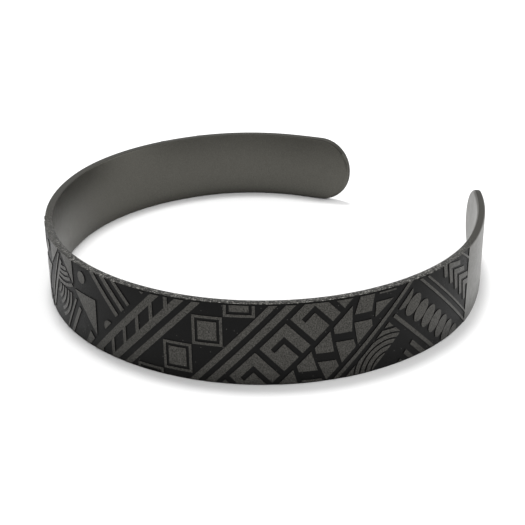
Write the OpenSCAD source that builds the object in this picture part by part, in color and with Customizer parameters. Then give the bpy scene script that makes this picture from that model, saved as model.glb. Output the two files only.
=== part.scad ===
// Open titanium cuff: one flat strip with round ends, bent to an oval, its outer face etched
// so that a band of geometric figures stands proud of a lower ground.
// Flat coordinates [s, z] are used for the figures: s runs along the outer face from the
// middle of the strip, z runs up from its lower edge, both in millimetres.

/* [Strip] */
// Width of the strip, which is the height of the cuff as it lies
band_h = 10; // [9:0.5:12]
// Thickness of the strip
band_t = 1.1; // [0.8:0.1:1.4]
// Depth of the etched ground below the raised figures
etch_d = 0.08; // [0.06:0.02:0.2]

/* [Pattern] */
// Reach of the pattern to each side of the middle of the strip
pattern_reach = 57.3; // [52:0.1:60]
// Line about which the figures repeat themselves, from the middle of the strip
fold_s = -2.75; // [-3.5:0.25:-2]
// Bare ground left along the lower edge
margin_low = 0.12; // [0.1:0.01:0.3]
// Bare ground left along the upper edge, where the figures stop short of it
margin_high = 0.2; // [0.1:0.01:0.3]
// Nearer to the middle of the strip than this, the figures run out over the upper edge
run_out_near = 9.6; // [9.4:0.1:10]
// Farther from the middle than this, they run out over it as well
run_out_far = 47; // [46.9:0.1:47.2]
// Angle of the chain of keys, in degrees
slant = 46.3; // [45:0.1:48]

/* [Ladder] */
// First rung, from the middle of the strip
rung_s = 6.25; // [6:0.05:6.5]
// Distance from rung to rung along the strip
rung_pitch = 1.98; // [1.8:0.02:2.2]
// Width of a rung
rung_w = 0.47; // [0.3:0.01:0.6]

/* [Nested squares] */
// Length of a square along the strip
square_l = 3.47; // [3.2:0.01:3.5]
// Height of a square
square_h = 3.62; // [3.3:0.01:3.65]
// Width of its frame and of the sunk ring inside the frame
square_rim = 0.33; // [0.2:0.01:0.4]

/* [Keys] */
// Side of a key along the rising diagonal
key_l = 4.2; // [4:0.1:4.4]
// Side of a key along the falling diagonal
key_h = 3.95; // [3.8:0.05:4.1]
// Distance from key to key along the rising diagonal
key_pitch = 4.88; // [4.8:0.01:5]
// Width of the hooked slot in a key
slot_w = 0.6; // [0.4:0.05:0.7]

/* [Ovals] */
// Half the length of an oval
oval_long = 1.48; // [1.2:0.01:1.55]
// Half the width of an oval
oval_short = 0.84; // [0.6:0.01:0.85]

/* [Hidden] */

// Bends of the outer face from the left tip round the front to the right tip
RADIUS = 0;
SWEEP = 1; // degrees
bends = [
    [57.7, 9.7],
    [21.9, 39.4],
    [27.9, 52.0],
    [35.6, 35.1],
    [30.6, 47.3],
    [26.6, 51.8],
    [29.3, 42.2],
    [48.0, 24.6],
];
flats = 102; // the strip's walls are drawn as this many flats of equal length

end_r = band_h / 2;
cap_over = 1.004; // an end's cap is this much over a half circle, so that it's tangent to nothing

figure_h = 10; // the tables below are drawn for a strip of this width, and grow with it
grow = band_h / figure_h;
figure_l = 24; // no figure is longer than this
field_from = -20; // all figures lie between these, also those that are mirrored later
field_to = 80;
reach = 2; // how far a figure's prism runs to each side of the outer face
round_fn = 96;
over = 1; // how far a cutting shape runs past what it cuts
eps = 0.01;

// Rising stripes that cross the whole strip
FOOT = 0; // s at the lower edge
HEAD = 1; // s at the upper edge
WIDTH = 2; // across the stripe
rail_high = [5.25, 15.0, 0.82];
rail_low = [8.25, 18.05, 0.83];
fan_stripe = [35.20, 44.90, 0.46];
rising_stripes = [
    [10.35, 20.05, 0.70],
    [19.15, 28.45, 0.70],
    [21.05, 30.40, 0.84],
    fan_stripe,
];
overrun = 3; // how far a stripe is drawn past each edge
dot_clear = 1.04; // from the middle of the upper rail to the dot that it cuts
oval_clear = 0.92; // from the middle of the fan's stripe to the oval that it cuts

// Square-ended bars, each from one point to another
FROM_S = 0;
FROM_Z = 1;
TO_S = 2;
TO_Z = 3;
THICK = 4;
bars = [
    [9.20, 5.70, 4.40, 10.80, 0.60],
    [10.15, 6.65, 6.30, 10.75, 0.62],
    [11.08, 7.58, 8.20, 10.65, 0.48],
    [42.65, 6.38, 50.20, -0.65, 0.46],
    [45.40, 2.17, 48.40, -0.70, 0.60],
    [44.45, 1.25, 46.50, -0.75, 0.56],
    [43.60, 0.30, 44.60, -0.70, 0.56],
    [45.60, 10.60, 58.00, -0.40, 0.32],
    [46.80, 10.60, 58.00, 0.90, 0.26],
    [54.60, 10.40, 58.40, 8.00, 0.26],
];
// Bars beside the fold, which the other side doesn't repeat
fold_bars = [
    [1.30, 5.15, -2.30, -0.60, 0.33],
    [2.15, 4.25, -0.90, -0.60, 0.55],
    [-2.40, 8.85, -7.20, 0.90, 0.55],
    [-3.00, 9.55, -7.70, 1.85, 0.30],
];

// Corners of the plain triangles and of the wedge at the ladder's foot
plain_figures = [
    [[-2.20, 10.5], [0.85, 10.5], [0.85, 7.0], [-2.20, 9.9]],
    [[1.20, 6.5], [5.55, 6.5], [5.40, 1.95]],
    [[4.10, 2.05], [4.85, 1.3], [3.20, -0.5], [2.50, -0.5]],
    [[12.40, 10.2], [13.80, 10.2], [13.10, 9.5]],
];

// Dots: the first is whole, and the ladder's upper rail cuts the second
DOT_S = 0;
DOT_Z = 1;
DOT_R = 2;
dots = [
    [2.90, 8.55, 0.76],
    [7.65, 3.85, 0.74],
];

// Leaves of the lattice above its slanted row of gaps, and below it
NEAR_S = 0; // s of the wall nearer the middle, at the gap
FAR_S = 1; // s of the other wall, at the gap
GAP_Z = 2; // edge of the gap
NEAR_END = 3; // s where each wall meets the border of the lattice
FAR_END = 4;
high_leaves = [
    [28.80, 30.98, 0.00, 28.70, 30.45],
    [31.05, 33.20, 1.50, 30.85, 32.45],
    [33.00, 35.05, 3.60, 32.85, 34.60],
    [35.10, 37.15, 5.75, 34.95, 37.15],
    [37.45, 39.55, 7.75, 38.05, 40.20],
    [40.45, 42.75, 9.60, 41.00, 43.30],
];
low_leaves = [
    [31.40, 33.65, 0.42, 31.90, 33.95],
    [33.20, 35.30, 2.52, 34.20, 35.67],
    [35.22, 37.35, 4.72, 36.00, 37.67],
    [37.40, 39.57, 6.75, 37.90, 39.70],
    [40.10, 42.30, 8.62, 40.00, 42.40],
];
high_border = [28.70, 38.25]; // foot and head of the line that the high leaves end on
low_border = [34.05, 43.65]; // the same for the low leaves

square_count = 4;
first_square = [12.05, -2.80]; // lower corner of the lowest square
square_step = [3.60, 3.72];

key_count = 5;
first_key = [20.00, -2.46]; // left corner of the lowest key
slot_near = 0.98; // from the key's left side to the hook's bar
slot_far = 2.93; // from its lower side to the far wall of the slot
slot_tip = 0.81; // from its lower side to the end of the hook

fan_centre = [42.10, -0.30];
fan_field = [[36.10, -0.30], [41.92, 5.75], [43.65, 4.12], [39.40, -0.30]];
fan_radii = [0, 2.45, 3.20, 3.90, 4.60, 8]; // sunk lines between the bands
fan_gap = 0.2;
fan_low_top = 4.85; // level gap under the fan's peak, from here
fan_high_foot = 5.15; // to here

oval_count = 8;
first_oval = [44.15, 8.10];
oval_step = [1.33, -1.16];
oval_lean = 48;
oval_turn = 15; // degrees from corner to corner of an oval

chevron_count = 5;
first_chevron = [50.38, 11.20];
chevron_step = [1.32, -1.22];
chevron = [[0, 0], [2.75, -0.5], [2.9, -1.15], [0.85, -0.85], [1.2, -2.75], [0.55, -2.75]];

bow_centre = [-2.5, 13.0];
bow_radii = [4.95, 5.60, 6.25, 7.0];
bow_field = [[-2.05, 8.75], [-1.55, 8.95], [0.80, 6.45], [0.0, 5.6], [-4.1, 5.6]];
shell_centre = [-4.6, 5.8];
shell_radii = [1.60, 2.35, 3.10, 3.90, 4.65];
shell_field = [[-4.6, 5.55], [0.70, 5.55], [-1.30, 1.60], [-2.6, 1.1]];
arc_w = 0.42; // width of the raised arcs in both

// How far the strip has turned, and how long it is, where bend i starts
function turned(i) = i == 0 ? 0 : turned(i - 1) + bends[i - 1][SWEEP];
function ran(i) = i == 0 ? 0 : ran(i - 1) + bends[i - 1][RADIUS] * bends[i - 1][SWEEP] * PI / 180;
band_l = ran(len(bends));
last_bend = len(bends) - 1;
function bend_at(u, i = 0) = i == last_bend || u < ran(i + 1) ? i : bend_at(u, i + 1);
function turn_at(u) = let (i = bend_at(u)) turned(i) + (u - ran(i)) / bends[i][RADIUS] * 180 / PI;
mid_turn = turn_at(band_l / 2);

// Headings are measured so that the middle of the strip runs along +X and faces -Y
function out_dir(turn) = [sin(turn - mid_turn), -cos(turn - mid_turn)];
function chain_centre(i) = i == 0 ? [0, 0] :
    chain_centre(i - 1) + (bends[i - 1][RADIUS] - bends[i][RADIUS]) * out_dir(turned(i));
function chain_point(u, offset) = let (i = bend_at(u))
    chain_centre(i) + (bends[i][RADIUS] + offset) * out_dir(turn_at(u));
function flat_u(j) = j * band_l / flats;

// The origin is the middle of the cuff's own box, at the lower edge
outer_line = [for (j = [0:flats]) chain_point(flat_u(j), 0)];
function low_end(axis) = min([for (p = outer_line) p[axis]]);
function high_end(axis) = max([for (p = outer_line) p[axis]]);
box_middle = [low_end(0) + high_end(0), low_end(1) + high_end(1)] / 2;
function band_point(u, offset) = chain_point(u, offset) - box_middle;

// A layer of the strip from one length to another, between two offsets from the outer face.
// Its walls follow the bends in short flats, whose corners lie on the true curve.
function layer_side(offset, from, to) = let (
    inside = [for (j = [0:flats]) if (flat_u(j) > from + eps && flat_u(j) < to - eps) flat_u(j)]
) [for (u = concat(from, inside, to)) band_point(u, offset)];
function reversed(list) = [for (j = [len(list) - 1:-1:0]) list[j]];
module layer(inner, outer, low, high, from, to)
    translate([0, 0, low]) linear_extrude(high - low)
        polygon(concat(layer_side(outer, from, to), reversed(layer_side(inner, from, to))));

// Puts flat figures on the outer face: s = at lands on the face and the rest beside it
module on_band(at) {
    u = at + band_l / 2;
    p = band_point(u, 0);
    translate([p.x, p.y, 0]) rotate([90, 0, turn_at(u) - mid_turn]) translate([-at, 0]) children();
}

module strip()
    difference() {
        layer(-band_t, 0, 0, band_h, -over, band_l + over);
        for (way = [-1, 1]) end_corners(way);
    }

// What is cut off to round an end
module end_corners(way) {
    cap = way * (band_l / 2 - end_r);
    on_band(cap) translate([cap, end_r]) difference() {
        translate([way > 0 ? 0 : -2 * end_r, -end_r - over, -end_r])
            cube([2 * end_r, band_h + 2 * over, band_h]);
        translate([0, 0, -band_h]) cylinder(r = end_r * cap_over, h = 2 * band_h, $fn = round_fn);
    }
}

// The layer that the etching takes away, before the figures are spared from it
module etched_layer()
    layer(-etch_d, over, -over, band_h + over, band_l / 2 - pattern_reach, band_l / 2 + pattern_reach);

module cuff()
    color([0.36, 0.35, 0.33])
        difference() {
            strip();
            difference() {
                etched_layer();
                fold_figures($side = 1);
                side_figures($side = 1);
                side_figures($side = -1);
            }
        }

// A raised figure: it is trimmed to the field and carried to its place,
// and on side -1 to the mirrored place across the fold
module raised(at) {
    place = grow * ($side > 0 ? at : 2 * fold_s - at);
    on_band(place)
        translate([place, 0, -reach])
            linear_extrude(2 * reach)
                scale(grow) mirror([$side > 0 ? 0 : 1, 0]) translate([-at, 0])
                    intersection() {
                        field();
                        children();
                    }
}

// What the figures are trimmed to: between the margins, and past the upper edge near the middle
// and near the ends
module field() {
    field_part(field_from, field_to, figure_h - margin_high / grow);
    field_part(field_from, run_out_near, figure_h + 2 * over);
    field_part(run_out_far, field_to, figure_h + 2 * over);
}

module field_part(from, to, top)
    translate([from, margin_low / grow]) square([to - from, top - margin_low / grow]);

module bar(a, b, thick) {
    half = thick / 2 * [a.y - b.y, b.x - a.x] / norm(b - a);
    polygon([a + half, b + half, b - half, a - half]);
}

function rise_z(line, s) = (s - line[FOOT]) / (line[HEAD] - line[FOOT]) * figure_h;
function rise_s(line, z) = line[FOOT] + (line[HEAD] - line[FOOT]) * z / figure_h;
module rising(line, width)
    bar([rise_s(line, -overrun), -overrun], [rise_s(line, figure_h + overrun), figure_h + overrun], width);

module bar_rows(rows)
    for (row = rows)
        raised((row[FROM_S] + row[TO_S]) / 2)
            bar([row[FROM_S], row[FROM_Z]], [row[TO_S], row[TO_Z]], row[THICK]);

module side_figures() {
    for (figure = plain_figures) raised(figure[0].x) polygon(figure);
    two_dots();
    bar_rows(bars);
    ladder();
    for (line = rising_stripes) raised(rise_s(line, figure_h / 2)) rising(line, line[WIDTH]);
    for (k = [0:square_count - 1]) nested_square(first_square + k * square_step);
    for (k = [0:key_count - 1]) key(first_key + k * key_pitch * [cos(slant), sin(slant)]);
    for (leaf = high_leaves) leaf(leaf, high_border);
    for (leaf = low_leaves) leaf(leaf, low_border);
    fan();
    ovals();
    for (k = [0:chevron_count - 1])
        raised(first_chevron.x + k * chevron_step.x)
            translate(first_chevron + k * chevron_step) polygon(chevron);
}

module two_dots()
    for (dot = dots) raised(dot[DOT_S]) difference() {
        translate([dot[DOT_S], dot[DOT_Z]]) circle(r = dot[DOT_R], $fn = round_fn);
        rising(rail_high, 2 * dot_clear);
    }

module ladder()
    raised(rise_s(rail_low, figure_h / 2)) {
        rising(rail_high, rail_high[WIDTH]);
        rising(rail_low, rail_low[WIDTH]);
        for (s = [rung_s:rung_pitch:rail_low[HEAD]])
            translate([s - rung_w / 2, rise_z(rail_low, s)])
                square([rung_w, rise_z(rail_high, s) - rise_z(rail_low, s)]);
    }

module nested_square(corner)
    raised(corner.x + square_l / 2) translate(corner)
        difference() {
            square([square_l, square_h]);
            difference() {
                inner_square(square_rim);
                inner_square(2 * square_rim);
            }
        }

module inner_square(inset)
    translate([inset, inset]) square([square_l - 2 * inset, square_h - 2 * inset]);

// A key is a slanted square with a hooked slot that opens through its far side
module key(corner) {
    outline = [
        [0, 0], [key_l, 0], [key_l, key_h], [slot_far, key_h], [slot_far, slot_near], [slot_tip, slot_near],
        [slot_tip, slot_near + slot_w], [slot_far - slot_w, slot_near + slot_w], [slot_far - slot_w, key_h],
        [0, key_h],
    ];
    raised(corner.x + key_l * cos(slant))
        polygon([for (p = outline) corner + [(p.x + p.y) * cos(slant), (p.x - p.y) * sin(slant)]]);
}

module leaf(row, border)
    raised((row[NEAR_S] + row[FAR_S]) / 2)
        polygon([
            [row[NEAR_S], row[GAP_Z]], [row[FAR_S], row[GAP_Z]],
            [row[FAR_END], rise_z(border, row[FAR_END])], [row[NEAR_END], rise_z(border, row[NEAR_END])],
        ]);

module ring(r_in, r_out) difference() {
    circle(r = r_out, $fn = round_fn);
    circle(r = r_in, $fn = round_fn);
}

// Bands of a fan about one centre, in a slanted field whose peak is cut off by a level gap
module fan() {
    for (k = [1:len(fan_radii) - 1]) raised(fan_centre.x)
        intersection() {
            fan_part(fan_centre.y - over, fan_low_top);
            translate(fan_centre) ring(fan_radii[k - 1] + fan_gap / 2, fan_radii[k] - fan_gap / 2);
        }
    raised(fan_centre.x) fan_part(fan_high_foot, figure_h);
}

module fan_part(low, high) intersection() {
    polygon(fan_field);
    translate([fan_field[0].x, low]) square([figure_l, high - low]);
}

module ovals()
    for (k = [0:oval_count - 1]) let (p = first_oval + k * oval_step)
        raised(p.x) difference() {
            translate(p) rotate(oval_lean)
                polygon([for (a = [0:oval_turn:360 - oval_turn]) [oval_long * cos(a), oval_short * sin(a)]]);
            rising(fan_stripe, 2 * oval_clear);
        }

module fold_figures() {
    bar_rows(fold_bars);
    for (r = bow_radii) nested_arc(r, bow_centre, bow_field);
    for (r = shell_radii) nested_arc(r, shell_centre, shell_field);
}

module nested_arc(r, centre, field)
    raised(fold_s) intersection() {
        polygon(field);
        translate(centre) ring(r - arc_w / 2, r + arc_w / 2);
    }

cuff();
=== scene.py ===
import math

import bmesh
import bpy
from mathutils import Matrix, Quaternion, Vector


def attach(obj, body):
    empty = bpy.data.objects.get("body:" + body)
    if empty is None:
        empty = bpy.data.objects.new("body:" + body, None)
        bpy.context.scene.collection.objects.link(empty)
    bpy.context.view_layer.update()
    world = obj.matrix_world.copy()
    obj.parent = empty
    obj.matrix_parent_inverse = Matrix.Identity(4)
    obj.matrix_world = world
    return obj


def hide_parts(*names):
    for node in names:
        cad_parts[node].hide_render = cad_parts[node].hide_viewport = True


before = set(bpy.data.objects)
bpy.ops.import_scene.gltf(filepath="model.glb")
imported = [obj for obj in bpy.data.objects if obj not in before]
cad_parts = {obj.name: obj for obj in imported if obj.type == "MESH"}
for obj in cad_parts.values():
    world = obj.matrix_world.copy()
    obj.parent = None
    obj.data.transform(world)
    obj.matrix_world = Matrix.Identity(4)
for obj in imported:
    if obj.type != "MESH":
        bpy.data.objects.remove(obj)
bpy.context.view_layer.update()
print("frame loaded")

millimetre = 0.001

# The strip is modelled flat, in millimetres: x along it from its middle, y in from its outer face, z up
strip = {
    "width": 10.0,
    "wall": 1.1,
    "etch": 0.08,           # the ground lies this far below the figures
    "reach": 57.3,          # the pattern stops here on both sides of the middle
    "endRadius": 4.9,
    "endSteps": 24,
    # The long edges are rubbed down, more towards the ends: where along the strip, and how much
    "outerRound": [(-74, 0.35), (-58, 0.05), (58, 0.05), (74, 0.35)],
    "innerRound": [(-74, 0.45), (-60, 0.1), (46, 0.1), (66, 0.45)],
    "footRound": [(-74, 0.45), (-60, 0.35), (46, 0.35), (66, 0.45)],  # the inner face's lower edge
    "satinRound": 0.11,     # where it is rounder than this, the inner face's finish runs over it
    "roundChanges": (46, 76, 2),  # the rounding changes in steps, from here to there, this far apart
    "roundSteps": 4,
    "outline": 0.085,       # a groove this wide runs round each figure, its darker colour painted shade
    "outlineDepth": 0.1,    # and is etched this deep
    "cut": 0.97,            # the flat strip is sliced this often, so that it bends smoothly
    "bends": [              # radius and sweep in degrees, from the left tip round the front
        (57.7, 9.7), (21.9, 39.4), (27.9, 52.0), (35.6, 35.1),
        (30.6, 47.3), (26.6, 51.8), (29.3, 42.2), (48.0, 24.6),
    ],
    "bendStep": 0.25,
    "smoothAngle": 25,      # flatter creases than this are shaded smooth
    "pastEdge": 3.0,        # figures are made this far past both edges, and trimmed later
}
stripLength = sum(radius * math.radians(sweep) for radius, sweep in strip["bends"])
figureDepth = 3 * strip["etch"]  # each figure is a plate sunk well into the wall
samePlace = 0.00001         # a cut this near a corner goes through it
closeBy = 0.01              # corners and faces that belong together lie within this

# How far a face looks along y: on a flat, over its edge, and on the two sides of a rim.
# A face of the long edges looks further than the last of them along z.
facings = {"flat": 0.95, "rounded": 0.35, "rimFlat": 0.9, "rimCut": 0.1, "longEdge": 0.7}


# Blender's tools, one at a time

def restAll():
    if bpy.context.object and bpy.context.object.mode != "OBJECT":
        bpy.ops.object.mode_set(mode="OBJECT")
    bpy.ops.object.select_all(action="DESELECT")


def pick(*pieces):
    restAll()
    for piece in pieces:
        piece.select_set(True)
    bpy.context.view_layer.objects.active = pieces[0]


def settle(piece):
    pick(piece)
    bpy.ops.object.transform_apply(location=True, rotation=True, scale=True)
    return piece


def openMesh(piece):
    pick(piece)
    bpy.ops.object.mode_set(mode="EDIT")
    bpy.ops.mesh.select_all(action="SELECT")


def closeMesh():
    bpy.ops.object.mode_set(mode="OBJECT")


def joinAll(pieces, name):
    pick(*pieces)
    if len(pieces) > 1:
        bpy.ops.object.join()
    piece = bpy.context.object
    piece.name = name
    return settle(piece)


def copyOf(piece, step=(0, 0), times=1):
    pick(piece)
    bpy.ops.object.duplicate(linked=False)
    bpy.ops.transform.translate(value=(step[0] * times, 0, step[1] * times))
    return settle(bpy.context.object)


# Cuts the piece along a plane and drops the side that the normal points to
def trim(piece, point, normal):
    openMesh(piece)
    bpy.ops.mesh.bisect(plane_co=point, plane_no=normal, use_fill=True, clear_outer=True, threshold=samePlace)
    closeMesh()


def combine(piece, other, how, ownCrossings=False):
    pick(piece)
    step = piece.modifiers.new("cut", "BOOLEAN")
    step.operation = how
    step.solver = "EXACT"
    step.use_self = ownCrossings
    step.object = other
    bpy.ops.object.modifier_apply(modifier=step.name)
    pick(other)
    bpy.ops.object.delete()
    return piece


# Plates for the figures, in flat coordinates (along, up)

def bar(start, end, thick):
    run, rise = end[0] - start[0], end[1] - start[1]
    bpy.ops.mesh.primitive_cube_add(
        size=1,
        location=((start[0] + end[0]) / 2, figureDepth / 2, (start[1] + end[1]) / 2),
        rotation=(0, -math.atan2(rise, run), 0),
        scale=(math.hypot(run, rise), figureDepth, thick),
    )
    return settle(bpy.context.object)


# The sides of a figure: a corner on each, and the direction that points out of the figure
def sidesOf(corners):
    middle = (sum(c[0] for c in corners) / len(corners), sum(c[1] for c in corners) / len(corners))
    sides = []
    for here, there in zip(corners, corners[1:] + corners[:1]):
        normal = Vector((there[1] - here[1], 0, here[0] - there[0])).normalized()
        if (here[0] - middle[0]) * normal.x + (here[1] - middle[1]) * normal.z < 0:
            normal = -normal
        sides.append((here, normal))
    return sides


# A block as large as the corners' box, trimmed along each side that isn't one of the block's own
def plate(corners):
    alongs, ups = [c[0] for c in corners], [c[1] for c in corners]
    low, high = (min(alongs), min(ups)), (max(alongs), max(ups))
    bpy.ops.mesh.primitive_cube_add(
        size=1,
        location=((low[0] + high[0]) / 2, figureDepth / 2, (low[1] + high[1]) / 2),
        scale=(high[0] - low[0], figureDepth, high[1] - low[1]),
    )
    block = settle(bpy.context.object)
    for corner, normal in sidesOf(corners):
        if max(abs(normal.x), abs(normal.z)) < 1 - samePlace:
            trim(block, (corner[0], 0, corner[1]), normal)
    return block


def thicken(flatPiece):
    openMesh(flatPiece)
    bpy.ops.mesh.extrude_region_move(TRANSFORM_OT_translate={"value": (0, figureDepth, 0)})
    bpy.ops.mesh.select_all(action="SELECT")
    bpy.ops.mesh.normals_make_consistent(inside=False)
    closeMesh()
    return flatPiece


def disc(centre, halves, lean=0.0, sides=48):
    bpy.ops.mesh.primitive_circle_add(
        vertices=sides, radius=1, fill_type="NGON", location=(centre[0], 0, centre[1]),
        rotation=(math.pi / 2, -math.radians(lean), 0),
    )
    bpy.context.object.scale = (halves[0], halves[1], 1)
    return thicken(settle(bpy.context.object))


# A ring, kept only where it crosses the field
def arc(centre, inner, outer, field, sides=96):
    bpy.ops.mesh.primitive_circle_add(
        vertices=sides, radius=inner, fill_type="NOTHING",
        location=(centre[0], 0, centre[1]), rotation=(math.pi / 2, 0, 0),
    )
    ring = settle(bpy.context.object)
    openMesh(ring)
    bpy.ops.mesh.extrude_region_move()
    growth = outer / inner
    bpy.ops.transform.resize(value=(growth, growth, growth), center_override=(centre[0], 0, centre[1]))
    closeMesh()
    thicken(ring)
    for corner, normal in sidesOf(field):
        trim(ring, (corner[0], 0, corner[1]), normal)
    return ring


# Where a line is at this height, and how high it is at this place along
def alongAt(line, up):
    return line[0] + (line[1] - line[0]) * up / strip["width"]


def upAt(line, along):
    return (along - line[0]) / (line[1] - line[0]) * strip["width"]


def stripe(line, thick):
    under, over = -strip["pastEdge"], strip["width"] + strip["pastEdge"]
    return bar((alongAt(line, under), under), (alongAt(line, over), over), thick)


# The figures of one side. A line is where it meets the lower and the upper edge.

stripes = {
    "lines": [(10.35, 20.05), (19.15, 28.45), (21.05, 30.40), (35.20, 44.90)],
    "thick": [0.70, 0.70, 0.84, 0.46],
}


def makeStripes():
    return [stripe(line, thick) for line, thick in zip(stripes["lines"], stripes["thick"])]


ladder = {
    "highRail": (5.25, 15.0),
    "lowRail": (8.25, 18.05),
    "highThick": 0.82,
    "lowThick": 0.83,
    "firstRung": 6.25,
    "rungPitch": 1.98,
    "rungThick": 0.47,
    "rungs": 6,
}


# The line moved half its thickness sideways: away is 1 to the right, -1 to the left
def sideOf(line, thick, away):
    lean = math.hypot(line[1] - line[0], strip["width"]) / strip["width"]
    shift = away * thick / 2 * lean
    return (line[0] + shift, line[1] + shift)


def makeLadder():
    outerLow = sideOf(ladder["lowRail"], ladder["lowThick"], 1)
    outerHigh = sideOf(ladder["highRail"], ladder["highThick"], -1)
    innerLow = sideOf(ladder["lowRail"], ladder["lowThick"], -1)
    innerHigh = sideOf(ladder["highRail"], ladder["highThick"], 1)
    under, over = -strip["pastEdge"], strip["width"] + strip["pastEdge"]
    body = plate([
        (alongAt(outerHigh, under), under), (alongAt(outerLow, under), under),
        (alongAt(outerLow, over), over), (alongAt(outerHigh, over), over),
    ])
    gaps = []
    for number in range(-1, ladder["rungs"]):
        start = ladder["firstRung"] + number * ladder["rungPitch"] + ladder["rungThick"] / 2
        end = start + ladder["rungPitch"] - ladder["rungThick"]
        gaps.append(plate([
            (start, upAt(innerLow, start)), (end, upAt(innerLow, end)),
            (end, upAt(innerHigh, end)), (start, upAt(innerHigh, start)),
        ]))
    return [punch(body, gaps)]


# Takes the gaps out of a plate. The cutter is made three times as deep, so that it goes right through.
def punch(body, gaps):
    cutter = joinAll(gaps, "cutter")
    openMesh(cutter)
    bpy.ops.transform.resize(value=(1, 3, 1), center_override=(0, figureDepth / 2, 0))
    closeMesh()
    combine(body, cutter, "DIFFERENCE")
    openMesh(body)
    bpy.ops.mesh.remove_doubles(threshold=closeBy)
    closeMesh()
    return body


squares = {
    "long": 3.47, "high": 3.62, "rim": 0.33, "first": (12.05, -2.80), "step": (3.60, 3.72), "count": 4,
}


# A square is inset twice, and the ring between the two insets is taken out
def makeSquares():
    middle = (squares["first"][0] + squares["long"] / 2, squares["first"][1] + squares["high"] / 2)
    bpy.ops.mesh.primitive_plane_add(
        size=1, location=(middle[0], 0, middle[1]), rotation=(math.pi / 2, 0, 0),
    )
    bpy.context.object.scale = (squares["long"], squares["high"], 1)
    square = settle(bpy.context.object)
    openMesh(square)
    bpy.ops.mesh.inset(thickness=squares["rim"])
    bpy.ops.mesh.inset(thickness=squares["rim"])
    mesh = bmesh.from_edit_mesh(square.data)
    for face in mesh.faces:
        centre = face.calc_center_median()
        aside = abs(centre.x - middle[0]) / squares["long"]
        above = abs(centre.z - middle[1]) / squares["high"]
        far = max(aside, above) * squares["high"]
        near, edge = squares["high"] / 2 - 2 * squares["rim"], squares["high"] / 2 - squares["rim"]
        face.select = near < far < edge
    bmesh.update_edit_mesh(square.data)
    bpy.ops.mesh.delete(type="FACE")
    closeMesh()
    thicken(square)
    return [square] + [copyOf(square, squares["step"], k) for k in range(1, squares["count"])]


keys = {
    "slant": 46.3, "long": 4.2, "high": 3.95, "pitch": 4.88, "first": (20.00, -2.46), "count": 5,
    "slot": 0.6, "slotNear": 0.98, "slotFar": 2.93, "slotTip": 0.81,
}


def makeKeys():
    cosSlant, sinSlant = math.cos(math.radians(keys["slant"])), math.sin(math.radians(keys["slant"]))

    def at(rising, falling):
        return (
            keys["first"][0] + (rising + falling) * cosSlant,
            keys["first"][1] + (rising - falling) * sinSlant,
        )

    body = plate([at(0, 0), at(keys["long"], 0), at(keys["long"], keys["high"]), at(0, keys["high"])])
    half, past = keys["slot"] / 2, keys["high"] + 1
    slotMiddle, hookMiddle = keys["slotFar"] - half, keys["slotNear"] + half
    legs = [
        plate([
            at(slotMiddle - half, keys["slotNear"]), at(keys["slotFar"], keys["slotNear"]),
            at(keys["slotFar"], past), at(slotMiddle - half, past),
        ]),
        plate([
            at(keys["slotTip"], hookMiddle - half), at(slotMiddle, hookMiddle - half),
            at(slotMiddle, hookMiddle + half), at(keys["slotTip"], hookMiddle + half),
        ]),
    ]
    key = body
    for leg in legs:
        key = punch(key, [leg])
    step = (keys["pitch"] * cosSlant, keys["pitch"] * sinSlant)
    return [key] + [copyOf(key, step, k) for k in range(1, keys["count"])]


# A leaf: its two walls at the gap, the gap's edge, and the same walls at the border
lattice = {
    "highBorder": (28.70, 38.25),
    "highLeaves": [
        (28.80, 30.98, 0.00, 28.70, 30.45), (31.05, 33.20, 1.50, 30.85, 32.45),
        (33.00, 35.05, 3.60, 32.85, 34.60), (35.10, 37.15, 5.75, 34.95, 37.15),
        (37.45, 39.55, 7.75, 38.05, 40.20), (40.45, 42.75, 9.60, 41.00, 43.30),
    ],
    "lowBorder": (34.05, 43.65),
    "lowLeaves": [
        (31.40, 33.65, 0.42, 31.90, 33.95), (33.20, 35.30, 2.52, 34.20, 35.67),
        (35.22, 37.35, 4.72, 36.00, 37.67), (37.40, 39.57, 6.75, 37.90, 39.70),
        (40.10, 42.30, 8.62, 40.00, 42.40),
    ],
}


def makeLattice():
    leaves = []
    for border, rows in (
        (lattice["highBorder"], lattice["highLeaves"]),
        (lattice["lowBorder"], lattice["lowLeaves"]),
    ):
        for near, far, gap, nearEnd, farEnd in rows:
            leaves.append(plate([
                (near, gap), (far, gap), (farEnd, upAt(border, farEnd)), (nearEnd, upAt(border, nearEnd)),
            ]))
    return leaves


fan = {
    "centre": (42.10, -0.30),
    "field": [(36.10, -0.30), (41.92, 5.75), (43.65, 4.12), (39.40, -0.30)],
    "radii": [0.1, 2.45, 3.20, 3.90, 4.60, 8.0],
    "gap": 0.2,
    "lowTop": 4.85,
    "highFoot": 5.15,
}


def makeFan():
    bands = []
    for inner, outer in zip(fan["radii"], fan["radii"][1:]):
        band = arc(fan["centre"], inner + fan["gap"] / 2, outer - fan["gap"] / 2, fan["field"])
        trim(band, (0, 0, fan["lowTop"]), (0, 0, 1))
        bands.append(band)
    peak = plate(fan["field"])
    trim(peak, (0, 0, fan["highFoot"]), (0, 0, -1))
    return bands + [peak]


ovals = {
    "long": 1.48, "short": 0.84, "lean": 48, "first": (44.15, 8.10), "step": (1.33, -1.16), "count": 8,
    "clear": 0.92,          # from the middle of the last stripe to the first oval, which it cuts
}


def makeOvals():
    oval = disc(ovals["first"], (ovals["long"], ovals["short"]), ovals["lean"], sides=32)
    whole = [copyOf(oval, ovals["step"], k) for k in range(1, ovals["count"])]
    line = sideOf(stripes["lines"][-1], 2 * ovals["clear"], 1)
    trim(oval, (line[0], 0, 0), Vector((-strip["width"], 0, line[1] - line[0])).normalized())
    return [oval] + whole


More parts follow.
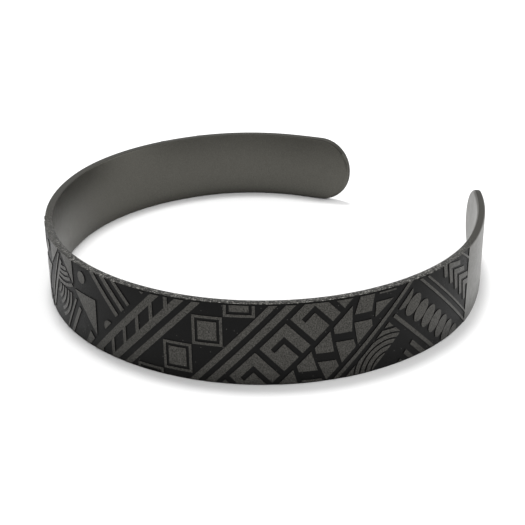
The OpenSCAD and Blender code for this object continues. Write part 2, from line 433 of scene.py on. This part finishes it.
chevrons = {
    "first": (50.38, 11.20), "step": (1.32, -1.22), "count": 5,
    "outside": [(0, 0), (2.75, -0.5), (2.9, -1.15), (1.2, -2.75), (0.55, -2.75)],
    "notch": [(0.85, -0.85), (4.95, -1.45), (1.57, -4.75)],
}


def makeChevrons():
    def at(corners):
        return [(chevrons["first"][0] + c[0], chevrons["first"][1] + c[1]) for c in corners]

    chevron = punch(plate(at(chevrons["outside"])), [plate(at(chevrons["notch"]))])
    return [chevron] + [copyOf(chevron, chevrons["step"], k) for k in range(1, chevrons["count"])]


# Bars: from, to, thickness
bars = {
    "side": [
        ((9.20, 5.70), (4.40, 10.80), 0.60), ((10.15, 6.65), (6.30, 10.75), 0.62),
        ((11.08, 7.58), (8.20, 10.65), 0.48), ((42.65, 6.38), (50.20, -0.65), 0.46),
        ((45.40, 2.17), (48.40, -0.70), 0.60), ((44.45, 1.25), (46.50, -0.75), 0.56),
        ((43.60, 0.30), (44.60, -0.70), 0.56), ((45.60, 10.60), (58.00, -0.40), 0.32),
        ((46.80, 10.60), (58.00, 0.90), 0.26), ((54.60, 10.40), (58.40, 8.00), 0.26),
    ],
    "fold": [
        ((1.30, 5.15), (-2.30, -0.60), 0.33), ((2.15, 4.25), (-0.90, -0.60), 0.55),
        ((-2.40, 8.85), (-7.20, 0.90), 0.55), ((-3.00, 9.55), (-7.70, 1.85), 0.30),
    ],
}

plainFigures = {
    "corners": [
        [(-2.20, 10.5), (0.85, 10.5), (0.85, 7.0), (-2.20, 9.9)],
        [(1.20, 6.5), (5.55, 6.5), (5.40, 1.95)],
        [(4.10, 2.05), (4.85, 1.3), (3.20, -0.5), (2.50, -0.5)],
        [(12.40, 10.2), (13.80, 10.2), (13.10, 9.5)],
    ],
    "dots": [((2.90, 8.55), 0.76), ((7.65, 3.85), 0.74)],
    "dotClear": 1.04,       # from the middle of the upper rail to the dot that it cuts
}


def makePlainFigures():
    figures = [plate(corners) for corners in plainFigures["corners"]]
    dots = [disc(centre, (radius, radius)) for centre, radius in plainFigures["dots"]]
    line = sideOf(ladder["highRail"], 2 * plainFigures["dotClear"], -1)
    trim(dots[1], (line[0], 0, 0), Vector((strip["width"], 0, line[0] - line[1])).normalized())
    return figures + dots


# The small nested arcs beside the line that the figures are mirrored about
foldFigures = {
    "fold": -2.75,
    "arcThick": 0.42,
    "nests": [
        {
            "centre": (-2.5, 13.0),
            "radii": [4.95, 5.60, 6.25, 7.0],
            "field": [(-2.05, 8.75), (-1.55, 8.95), (0.80, 6.45), (0.0, 5.6), (-4.1, 5.6)],
        },
        {
            "centre": (-4.6, 5.8),
            "radii": [1.60, 2.35, 3.10, 3.90, 4.65],
            "field": [(-4.6, 5.55), (0.70, 5.55), (-1.30, 1.60), (-2.6, 1.1)],
        },
    ],
}


def makeFoldFigures():
    half = foldFigures["arcThick"] / 2
    made = [bar(*row) for row in bars["fold"]]
    for nest in foldFigures["nests"]:
        for radius in nest["radii"]:
            made.append(arc(nest["centre"], radius - half, radius + half, nest["field"]))
    return made


margins = {
    "low": 0.12,            # bare ground below the figures
    "high": 0.2,            # and above them, between the two places in runOut
    "runOut": (9.6, 47.0),
    "outline": 0.03,        # the outlines end this far below the figures
    "overlap": 0.3,         # the figures run this far into the plain ends
    "apart": 0.01,          # the Booleans come out clean when no two faces lie in one plane
    "sunk": 0.002,
}


# Near the middle and near the ends the figures run out over the upper edge
def trimTop(figure):
    stop = strip["width"] - margins["high"]
    above = [corner.co.x for corner in figure.data.vertices if corner.co.z > stop]
    if above:
        along = sum(above) / len(above)
        stops = margins["runOut"][0] < along < margins["runOut"][1]
        trim(figure, (0, 0, stop if stops else strip["width"] - margins["apart"]), (0, 0, 1))


def makeFigures():
    side = (
        makePlainFigures() + [bar(*row) for row in bars["side"]] + makeLadder() + makeStripes()
        + makeSquares() + makeKeys() + makeLattice() + makeFan() + makeOvals() + makeChevrons()
    )
    print("figures of one side:", len(side))
    for figure in side:
        trimTop(figure)
    right = joinAll(side, "rightFigures")
    left = copyOf(right)
    openMesh(left)
    bpy.ops.transform.resize(value=(-1, 1, 1), center_override=(foldFigures["fold"], 0, 0))
    bpy.ops.mesh.normals_make_consistent(inside=False)
    closeMesh()
    figures = joinAll([right, left] + makeFoldFigures(), "figures")
    limit = strip["reach"] + margins["overlap"]
    trim(figures, (0, 0, margins["low"]), (0, 0, -1))
    for away in (-1, 1):
        trim(figures, (away * limit, 0, 0), (away, 0, 0))
    return figures


# The grown copies of the figures, which cut the deeper line round each. They are made 1 mm deep,
# so that they stand well out of the strip.
def makeOutlines(figures):
    outlines = copyOf(figures)
    openMesh(outlines)
    bpy.ops.transform.shrink_fatten(value=strip["outline"], use_even_offset=True)
    closeMesh()
    places = [corner[1] for corner in outlines.bound_box]
    middle, size = (min(places) + max(places)) / 2, max(places) - min(places)
    openMesh(outlines)
    bpy.ops.transform.resize(value=(1, 1 / size, 1), center_override=(0, middle, 0))
    bpy.ops.transform.translate(value=(0, strip["outlineDepth"] - 0.5 - middle, 0))
    closeMesh()
    edge = strip["reach"] - margins["apart"]
    trim(outlines, (0, 0, margins["low"] - margins["outline"]), (0, 0, -1))
    for away in (-1, 1):
        trim(outlines, (away * edge, 0, 0), (away, 0, 0))
    return outlines


# Keeps the figures' faces out of the plain ends' plane
def sink(figures):
    openMesh(figures)
    bpy.ops.transform.translate(value=(0, margins["sunk"], 0))
    closeMesh()
    return figures


def selectEdges(piece, wanted):
    bpy.ops.mesh.select_mode(type="EDGE")
    bpy.ops.mesh.select_all(action="DESELECT")
    mesh = bmesh.from_edit_mesh(piece.data)
    for edge in mesh.edges:
        edge.select = wanted(edge)
    bmesh.update_edit_mesh(piece.data)


# The strip before the figures: round ends, the etched ground, and its cut edges rubbed down
def makeBlank():
    half, tall, wall = stripLength / 2, strip["width"], strip["wall"]
    bpy.ops.mesh.primitive_cube_add(size=1, location=(0, wall / 2, tall / 2), scale=(2 * half, wall, tall))
    blank = settle(bpy.context.object)
    openMesh(blank)
    selectEdges(blank, lambda edge: abs(edge.verts[0].co.y - edge.verts[1].co.y) > wall / 2)
    bpy.ops.mesh.bevel(offset=strip["endRadius"], segments=strip["endSteps"], affect="EDGES")
    closeMesh()
    # The ground's cutter stands 1 mm out of the strip's face and past both its edges
    bpy.ops.mesh.primitive_cube_add(
        size=1, location=(0, strip["etch"] / 2 - 0.5, tall / 2),
        scale=(2 * strip["reach"], strip["etch"] + 1, tall + 2),
    )
    combine(blank, settle(bpy.context.object), "DIFFERENCE")
    openMesh(blank)
    for away in (-1, 1):
        for along in range(*strip["roundChanges"]):
            bpy.ops.mesh.select_all(action="SELECT")
            bpy.ops.mesh.bisect(plane_co=(away * along, 0, 0), plane_no=(1, 0, 0), threshold=samePlace)
    closeMesh()
    weights = blank.data.attributes.new("bevel_weight_edge", "FLOAT", "EDGE")
    looks = edgeFacings(blank)
    largest = max(size for along, size in strip["innerRound"])
    for edge in blank.data.edges:
        ends = [blank.data.vertices[v].co for v in edge.vertices]
        atBorder = all(abs(abs(end.x) - strip["reach"]) < closeBy for end in ends)
        if atBorder or not isRim(looks[edge.index]):
            continue
        middle = (ends[0] + ends[1]) / 2
        rows = innerRows(middle.z) if middle.y > wall / 2 else strip["outerRound"]
        weights.data[edge.index].value = sizeAt(rows, middle.x) / largest
    pick(blank)
    rounded = blank.modifiers.new("rounded", "BEVEL")
    rounded.width = largest
    rounded.segments = strip["roundSteps"]
    rounded.limit_method = "WEIGHT"
    rounded.use_clamp_overlap = False
    bpy.ops.object.modifier_apply(modifier=rounded.name)
    return blank


def innerRows(up):
    return strip["innerRound" if up > strip["width"] / 2 else "footRound"]


# The size at this place along, from rows of (along, size)
def sizeAt(rows, along):
    for (start, first), (end, last) in zip(rows, rows[1:]):
        if along < end:
            return first + max(0, (along - start) / (end - start)) * (last - first)
    return rows[-1][1]


# A rim lies between a face that looks along y and one that looks along the cut edge
def isRim(looks):
    return len(looks) == 2 and min(looks) < facings["rimCut"] and max(looks) > facings["rimFlat"]


# How far each edge's faces look along y
def edgeFacings(piece):
    looks = {edge.index: [] for edge in piece.data.edges}
    byEnds = {tuple(sorted(edge.vertices)): edge.index for edge in piece.data.edges}
    for face in piece.data.polygons:
        for ends in face.edge_keys:
            looks[byEnds[tuple(sorted(ends))]].append(abs(face.normal.y))
    return looks


# The outer face's line in plan, as one open curve in the part's own frame. It starts at the left tip,
# and the middle of the strip runs along x.
def bendLine():
    points, turned = [Vector((0, 0))], 0.0
    middleTurn = turnAt(stripLength / 2)
    for radius, sweep in strip["bends"]:
        steps = math.ceil(radius * math.radians(sweep) / strip["bendStep"])
        for step in range(steps):
            chord = 2 * radius * math.sin(math.radians(sweep) / steps / 2)
            heading = math.radians(turned + sweep * (step + 0.5) / steps - middleTurn)
            points.append(points[-1] + chord * Vector((math.cos(heading), math.sin(heading))))
        turned += sweep
    low = Vector((min(p.x for p in points), min(p.y for p in points)))
    high = Vector((max(p.x for p in points), max(p.y for p in points)))
    line = bpy.data.curves.new("bendLine", "CURVE")
    line.dimensions = "3D"
    line.twist_mode = "Z_UP"
    spline = line.splines.new("POLY")
    spline.points.add(len(points) - 1)
    for point, place in zip(spline.points, points):
        point.co = (*(place - (low + high) / 2), 0, 1)
    curve = bpy.data.objects.new("bendLine", line)
    bpy.context.scene.collection.objects.link(curve)
    return curve


# Degrees that the strip has turned at this length from its left tip
def turnAt(length):
    turned = 0.0
    for radius, sweep in strip["bends"]:
        run = radius * math.radians(sweep)
        if length <= run:
            return turned + math.degrees(length / radius)
        length -= run
        turned += sweep
    return turned


satinHeight = 0.8           # at the left the upper edge keeps the cut edge's darker finish above this share: painted shade that keeps the lamp's highlight off its rounding


# Which finish a face gets, told while the strip is still flat
def finishOf(face):
    normal, centre = face.normal, face.center
    satinRound = centre.x > 0 or centre.z < satinHeight * strip["width"]
    runsOver = satinRound and sizeAt(innerRows(centre.z), centre.x) > strip["satinRound"]
    if normal.y > facings["rounded" if runsOver else "flat"]:
        return "innerFace"
    onPattern = abs(centre.x) < strip["reach"] + closeBy
    if normal.y < -facings["rounded"] and not onPattern:
        return "plainEnd"
    if normal.y < -facings["flat"]:
        if centre.y < strip["etch"] / 2:
            return "raised"
        return "ground" if centre.y < (strip["etch"] + strip["outlineDepth"]) / 2 else "outline"
    # The figures' walls down at the grooves take the outline's painted shade too
    lowest = margins["low"] - 2 * margins["outline"]
    highest = strip["width"] - sizeAt(strip["outerRound"], 0)
    if onPattern and lowest < centre.z < highest and centre.y < strip["outlineDepth"] + closeBy:
        return "outline"
    return "cutEdge"


# A UV map of the flat strip, so that a finish can follow it round the bend
def layFlatMap(cuff):
    flatMap = cuff.data.uv_layers.new(name="flatStrip")
    for face in cuff.data.polygons:
        onLongEdge = abs(face.normal.z) > facings["longEdge"]
        for loop in face.loop_indices:
            place = cuff.data.vertices[cuff.data.loops[loop].vertex_index].co
            flatMap.data[loop].uv = (place.x, place.y if onLongEdge else place.z)


def makeCuff():
    figures = makeFigures()
    print("figures made:", len(figures.data.polygons), "faces")
    cuff = combine(makeBlank(), makeOutlines(figures), "DIFFERENCE", ownCrossings=True)
    print("outlines etched:", len(cuff.data.polygons), "faces")
    cuff = combine(cuff, sink(figures), "UNION", ownCrossings=True)
    cuff.name = "cuffMetal"
    print("figures joined to the strip:", len(cuff.data.polygons), "faces")
    openMesh(cuff)
    cuts = math.floor(stripLength / strip["cut"])
    for number in range(1, cuts):
        bpy.ops.mesh.select_all(action="SELECT")
        along = -stripLength / 2 + number * stripLength / cuts
        bpy.ops.mesh.bisect(plane_co=(along, 0, 0), plane_no=(1, 0, 0), threshold=samePlace)
    closeMesh()
    for makeFinish in finishes.values():
        cuff.data.materials.append(makeFinish())
    for face in cuff.data.polygons:
        face.material_index = list(finishes).index(finishOf(face))
    layFlatMap(cuff)
    openMesh(cuff)
    bpy.ops.transform.translate(value=(stripLength / 2, 0, 0))
    closeMesh()
    curve = bendLine()
    pick(cuff)
    bend = cuff.modifiers.new("bend", "CURVE")
    bend.object = curve
    bend.deform_axis = "POS_X"
    bpy.ops.object.modifier_apply(modifier=bend.name)
    cuff.scale = (millimetre, millimetre, millimetre)
    settle(cuff)
    bpy.ops.object.shade_smooth_by_angle(angle=math.radians(strip["smoothAngle"]))
    pick(curve)
    bpy.ops.object.delete()
    print("cuff bent:", len(cuff.data.polygons), "faces")
    return cuff


# Finishes

noiseRange = (0.3, 0.7)     # noise lies mostly between these
speckCore = 0.6             # a speck is full within this share of its radius, and fades outside it


def newFinish(name):
    material = bpy.data.materials.new(name)
    material.use_nodes = True
    tree = material.node_tree
    return material, tree, tree.nodes["Principled BSDF"]


# Object coordinates in millimetres
def millimetreSpace(tree):
    place = tree.nodes.new("ShaderNodeTexCoord")
    mapping = tree.nodes.new("ShaderNodeMapping")
    mapping.inputs["Scale"].default_value = (1000, 1000, 1000)
    tree.links.new(place.outputs["Object"], mapping.inputs["Vector"])
    return mapping.outputs["Vector"]


def noise(tree, space, scale, detail=3.0, roughness=0.6):
    node = tree.nodes.new("ShaderNodeTexNoise")
    node.inputs["Scale"].default_value = scale
    node.inputs["Detail"].default_value = detail
    node.inputs["Roughness"].default_value = roughness
    tree.links.new(space, node.inputs["Vector"])
    return node.outputs["Fac"]


def ramp(tree, value, stops):
    stops = list(stops)
    node = tree.nodes.new("ShaderNodeValToRGB")
    while len(node.color_ramp.elements) < len(stops):
        node.color_ramp.elements.new(1.0)
    for element, (place, colour) in zip(node.color_ramp.elements, stops):
        element.position = place
        element.color = (*colour, 1)
    tree.links.new(value, node.inputs["Fac"])
    return node.outputs["Color"]


# Noise, spread so that it reaches both limits
def spread(tree, value, limits):
    node = tree.nodes.new("ShaderNodeMapRange")
    node.inputs["To Min"].default_value = limits[0]
    node.inputs["To Max"].default_value = limits[1]
    node.inputs["From Min"].default_value = noiseRange[0]
    node.inputs["From Max"].default_value = noiseRange[1]
    tree.links.new(value, node.inputs["Value"])
    return node.outputs["Result"]


# Sparse small dots, used as painted glints: 1 on a dot, 0 beside it
def specks(tree, space, perMillimetre, radius):
    node = tree.nodes.new("ShaderNodeTexVoronoi")
    node.inputs["Scale"].default_value = perMillimetre
    tree.links.new(space, node.inputs["Vector"])
    inside = tree.nodes.new("ShaderNodeMapRange")
    inside.inputs["From Min"].default_value = radius * perMillimetre
    inside.inputs["From Max"].default_value = speckCore * radius * perMillimetre
    tree.links.new(node.outputs["Distance"], inside.inputs["Value"])
    return inside.outputs["Result"]


def blend(tree, share, under, over):
    node = tree.nodes.new("ShaderNodeMix")
    node.data_type = "RGBA"
    tree.links.new(share, node.inputs["Factor"])
    tree.links.new(under, node.inputs["A"])
    node.inputs["B"].default_value = (*over, 1)
    return node.outputs["Result"]


def bump(tree, shader, value, strength, depth):
    node = tree.nodes.new("ShaderNodeBump")
    node.inputs["Strength"].default_value = strength
    node.inputs["Distance"].default_value = depth * millimetre
    tree.links.new(value, node.inputs["Height"])
    tree.links.new(node.outputs["Normal"], shader.inputs["Normal"])


# Scales are per millimetre, depths and radii in millimetres
raisedValues = {
    "dark": (0.022, 0.0213, 0.0196), "light": (0.086, 0.0833, 0.0766), "speck": (0.19, 0.186, 0.175),
    "grainScale": 7.5, "detail": 5.0, "rough": 0.75, "darkTo": 0.38, "lightFrom": 0.62,
    "specksPerMillimetre": 1.0, "speckRadius": 0.05,
    "patchScale": 3.0, "roughness": (0.36, 0.5), "bump": 0.6, "depth": 0.02,
}


def raisedFinish():
    values = raisedValues
    material, tree, shader = newFinish("blastedTitanium")
    space = millimetreSpace(tree)
    grain = noise(tree, space, values["grainScale"], values["detail"], values["rough"])
    colour = ramp(tree, grain, [(values["darkTo"], values["dark"]), (values["lightFrom"], values["light"])])
    # the bright specks are painted glints: sparkle painted into the base colour
    paintedGlints = specks(tree, space, values["specksPerMillimetre"], values["speckRadius"])
    tree.links.new(blend(tree, paintedGlints, colour, values["speck"]), shader.inputs["Base Color"])
    patches = noise(tree, space, values["patchScale"])
    tree.links.new(spread(tree, patches, values["roughness"]), shader.inputs["Roughness"])
    shader.inputs["Metallic"].default_value = 1.0
    bump(tree, shader, grain, values["bump"], values["depth"])
    return material


groundValues = {
    "dark": (0.0012, 0.0012, 0.0012), "light": (0.0036, 0.0035, 0.0033), "speck": (0.08, 0.0784, 0.0736),
    "grainScale": 5.0, "detail": 4.0, "rough": 0.7, "specksPerMillimetre": 1.5, "speckRadius": 0.055,
    "roughness": (0.38, 0.55), "specular": 0.1, "bump": 0.6, "depth": 0.02,
}


def groundFinish():
    values = groundValues
    material, tree, shader = newFinish("etchedGround")
    space = millimetreSpace(tree)
    grain = noise(tree, space, values["grainScale"], values["detail"], values["rough"])
    colour = ramp(tree, grain, zip(noiseRange, (values["dark"], values["light"])))
    # the faint specks are painted glints as well, sparkle painted into the ground's colour
    paintedGlints = specks(tree, space, values["specksPerMillimetre"], values["speckRadius"])
    tree.links.new(blend(tree, paintedGlints, colour, values["speck"]), shader.inputs["Base Color"])
    tree.links.new(spread(tree, grain, values["roughness"]), shader.inputs["Roughness"])
    shader.inputs["Specular IOR Level"].default_value = values["specular"]
    bump(tree, shader, grain, values["bump"], values["depth"])
    return material


# The groove round each figure is cut in the geometry; its colour, darker than the ground's, is painted shade
# in the recess
outlineValues = {
    "colour": (0.0006, 0.0006, 0.0006), "grainScale": 8.0, "roughness": (0.6, 0.8), "specular": 0.04,
    "bump": 0.5, "depth": 0.02,
}


def outlineFinish():
    values = outlineValues
    material, tree, shader = newFinish("etchedOutlinePaintedShade")
    space = millimetreSpace(tree)
    shader.inputs["Base Color"].default_value = (*values["colour"], 1)
    shader.inputs["Specular IOR Level"].default_value = values["specular"]
    grain = noise(tree, space, values["grainScale"])
    tree.links.new(spread(tree, grain, values["roughness"]), shader.inputs["Roughness"])
    bump(tree, shader, grain, values["bump"], values["depth"])
    return material


# The bare outer face of both ends, and the inner face: one satin metal, its copy on the ends painted lighter
# as painted light
satinValues = {
    "satinEnds": {
        "dark": (0.084, 0.0823, 0.0758), "light": (0.116, 0.1137, 0.1056), "grainScale": 7.0,
        "patchScale": 1.5, "roughness": (0.34, 0.42), "bump": 0.3, "depth": 0.01,
    },
    "satinInner": {
        "dark": (0.077, 0.0747, 0.0659), "light": (0.100, 0.0974, 0.086), "grainScale": 6.0,
        "patchScale": 0.8, "roughness": (0.34, 0.39), "bump": 0.05, "depth": 0.01,
    },
}


def satinFinish(name):
    values = satinValues[name]
    material, tree, shader = newFinish(name)
    space = millimetreSpace(tree)
    grain = noise(tree, space, values["grainScale"])
    colour = ramp(tree, grain, zip(noiseRange, (values["dark"], values["light"])))
    tree.links.new(colour, shader.inputs["Base Color"])
    patches = noise(tree, space, values["patchScale"])
    tree.links.new(spread(tree, patches, values["roughness"]), shader.inputs["Roughness"])
    shader.inputs["Metallic"].default_value = 1.0
    bump(tree, shader, grain, values["bump"], values["depth"])
    return material


# Rough from the saw along the front, its brightest grains painted glints, and satin towards both ends
edgeValues = {
    "grainSize": 0.13,
    "grains": [
        (0.15, (0.008, 0.0078, 0.0071)), (0.6, (0.036, 0.035, 0.0319)), (0.95, (0.33, 0.322, 0.299)),
    ],
    "satin": (0.055, 0.0534, 0.0476),
    "satinShare": [(-20, 1), (2, 0), (50, 0), (62, 1)],  # where along the strip, and how satin
    "roughness": (0.34, 0.5), "satinRoughness": (0.0, 0.62), "bump": 0.8, "depth": 0.06,
}


def cutEdgeFinish():
    values = edgeValues
    material, tree, shader = newFinish("cutEdge")
    flatMap = tree.nodes.new("ShaderNodeUVMap")
    flatMap.uv_map = "flatStrip"
    grains = tree.nodes.new("ShaderNodeTexVoronoi")
    grains.inputs["Scale"].default_value = 1 / values["grainSize"]
    tree.links.new(flatMap.outputs["UV"], grains.inputs["Vector"])
    # the grain's brightest stop is painted glints: sparkle painted into the sawn edge's colour
    rough = ramp(tree, grains.outputs["Color"], values["grains"])
    along = tree.nodes.new("ShaderNodeSeparateXYZ")
    tree.links.new(flatMap.outputs["UV"], along.inputs["Vector"])
    share = tree.nodes.new("ShaderNodeMapRange")
    share.inputs["From Min"].default_value = -stripLength / 2
    share.inputs["From Max"].default_value = stripLength / 2
    tree.links.new(along.outputs["X"], share.inputs["Value"])
    satin = ramp(tree, share.outputs["Result"], [
        (0.5 + place / stripLength, (shade, shade, shade)) for place, shade in values["satinShare"]
    ])
    colour = blend(tree, satin, rough, values["satin"])
    tree.links.new(colour, shader.inputs["Base Color"])
    matter = tree.nodes.new("ShaderNodeMath")  # the satin share is also the matter one
    matter.operation = "MAXIMUM"
    tree.links.new(spread(tree, grains.outputs["Distance"], values["roughness"]), matter.inputs[0])
    tree.links.new(spread(tree, satin, values["satinRoughness"]), matter.inputs[1])
    tree.links.new(matter.outputs["Value"], shader.inputs["Roughness"])
    shader.inputs["Metallic"].default_value = 1.0
    bump(tree, shader, colour, values["bump"], values["depth"])
    return material


finishes = {
    "raised": raisedFinish,
    "ground": groundFinish,
    "outline": outlineFinish,
    "plainEnd": lambda: satinFinish("satinEnds"),
    "innerFace": lambda: satinFinish("satinInner"),
    "cutEdge": cutEdgeFinish,
}


# The camera stands where the photograph was taken from
cameraPlace = {
    "azimuth": 53.64, "elevation": 24.47, "distance": 0.14505, "pivot": (0.00113, 0.00389, 0.0),
    "turnLeft": 1.409, "tiltUp": 0.115, "lens": 71.77, "sensor": 36.0, "seesFrom": 0.005, "seesTo": 10,
}


def placeCamera():
    around, above = math.radians(cameraPlace["azimuth"]), math.radians(cameraPlace["elevation"])
    back = Vector((math.sin(around) * math.cos(above), -math.cos(around) * math.cos(above), math.sin(above)))
    bpy.ops.object.camera_add(location=Vector(cameraPlace["pivot"]) + back * cameraPlace["distance"])
    camera = bpy.context.object
    camera.rotation_mode = "QUATERNION"
    camera.rotation_quaternion = (
        (-back).to_track_quat("-Z", "Y")
        @ Quaternion((0, 1, 0), math.radians(cameraPlace["turnLeft"]))
        @ Quaternion((1, 0, 0), math.radians(cameraPlace["tiltUp"]))
    )
    camera.data.lens = cameraPlace["lens"]
    camera.data.sensor_width = cameraPlace["sensor"]
    camera.data.clip_start = cameraPlace["seesFrom"]
    camera.data.clip_end = cameraPlace["seesTo"]
    bpy.context.scene.camera = camera


studio = {
    "floorSize": 6.0, "floorColour": (0.86, 0.86, 0.86), "floorRoughness": 0.9, "floorSpecular": 0.1,
    "floorDrop": 0.00001,   # the floor lies this far below the cuff
    "sky": (1.0, 1.0, 1.0), "skyStrength": 0.95,
    "lamps": [              # one high behind the cuff and a little to the left, one low at its right
        {"size": 0.32, "height": 1.5, "away": 0.29, "turn": 15.0, "watts": 13.0},
        {"size": 0.6, "height": 0.35, "away": 0.9, "turn": -80.0, "watts": 3.0},
    ],
}


def makeStudio():
    bpy.ops.mesh.primitive_plane_add(size=studio["floorSize"], location=(0, 0, -studio["floorDrop"]))
    floor = bpy.context.object
    floor.name = "floor"
    material, tree, shader = newFinish("paleFloor")
    shader.inputs["Base Color"].default_value = (*studio["floorColour"], 1)
    shader.inputs["Roughness"].default_value = studio["floorRoughness"]
    shader.inputs["Specular IOR Level"].default_value = studio["floorSpecular"]
    floor.data.materials.append(material)
    for values in studio["lamps"]:
        turn, away = math.radians(cameraPlace["azimuth"] + values["turn"]), values["away"]
        place = Vector((-math.sin(turn) * away, math.cos(turn) * away, values["height"]))
        bpy.ops.object.light_add(type="AREA", location=place)
        lamp = bpy.context.object
        lamp.data.shape = "DISK"
        lamp.data.size = values["size"]
        lamp.data.energy = values["watts"]
        lamp.rotation_mode = "QUATERNION"
        lamp.rotation_quaternion = place.to_track_quat("Z", "Y")
    world = bpy.data.worlds.new("studioSky")
    world.use_nodes = True
    sky = world.node_tree.nodes["Background"]
    sky.inputs["Color"].default_value = (*studio["sky"], 1)
    sky.inputs["Strength"].default_value = studio["skyStrength"]
    bpy.context.scene.world = world
    bpy.context.scene.view_settings.view_transform = "Standard"


restAll()
placeCamera()
makeStudio()
print("camera, floor and lamps placed")
restAll()
cuff = makeCuff()
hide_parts("cuff")
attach(cuff, "root")
